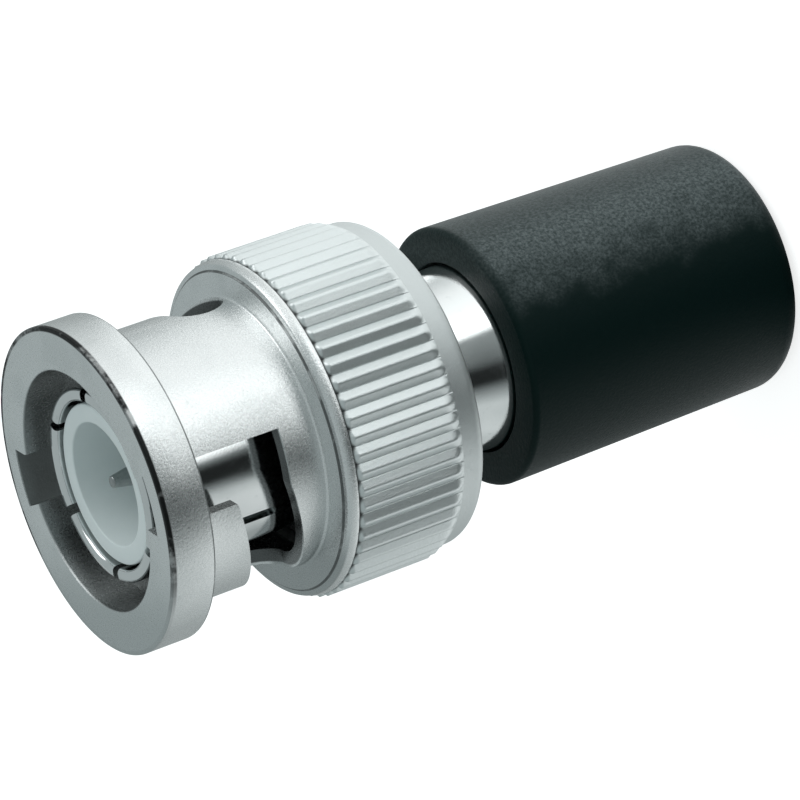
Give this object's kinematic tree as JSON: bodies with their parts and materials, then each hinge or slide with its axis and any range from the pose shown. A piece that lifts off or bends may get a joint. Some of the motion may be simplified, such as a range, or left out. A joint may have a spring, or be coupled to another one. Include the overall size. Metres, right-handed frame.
{
  "type": "bnc terminating plug",
  "caption": "Nickel-plated bayonet coaxial plug with a knurled coupling nut, slotted spring contact, white insulator, centre pin and a plain black end cap",
  "frame": {"origin": "centre of the flat end of the cap, which the plug stands on", "axes": "+Z runs along the plug's axis from the cap to the mating face; +X points to one of the two entry channels of the nut"},
  "size_m": [0.0142, 0.0142, 0.0307],
  "materials": {
    "nickel_nut": "satin nickel plate on brass",
    "nickel_body": "bright nickel plate on brass",
    "nickel_contact": "bright nickel plate on bronze",
    "gasket_rubber": "matte black",
    "white_insulator": "smooth white fluoroplastic",
    "silvered_pin": "silver plate",
    "spring_steel": "bright",
    "resistor_lacquer": "satin lacquer",
    "tinned_wire": "tinned copper",
    "plain_brass": "turned",
    "solder": "soft satin",
    "black_plastic": "fine matte grain"
  },
  "bodies": {
    "body": {"plug_body": "nickel_body", "outer_contact": "nickel_contact", "gasket": "gasket_rubber", "dielectric": "white_insulator", "rear_insulator": "white_insulator", "centre_contact": "silvered_pin", "wave_washer_front": "spring_steel", "wave_washer_rear": "spring_steel", "back_washer": "spring_steel", "retaining_ring": "spring_steel", "resistor": "resistor_lacquer", "front_lead": "tinned_wire", "rear_lead": "tinned_wire", "earth_disc": "plain_brass", "solder_bead": "solder", "end_cap": "black_plastic"},
    "carrier": {"thrust_washer": "spring_steel"},
    "nut": {"coupling_nut": "nickel_nut"}
  },
  "joints": [
    {"name": "nut_pull", "type": "slide", "parent": "body", "child": "carrier", "axis": [0, 0, 1], "range_m": [0, 0.0005], "stiffness_N_per_m": 300, "springref_m": -0.001, "deforming": ["wave_washer_front", "wave_washer_rear"]},
    {"name": "nut_turn", "type": "hinge", "parent": "carrier", "child": "nut", "pos_m": [0, 0, 0.018], "axis": [0, 0, 1], "continuous": true}
  ]
}
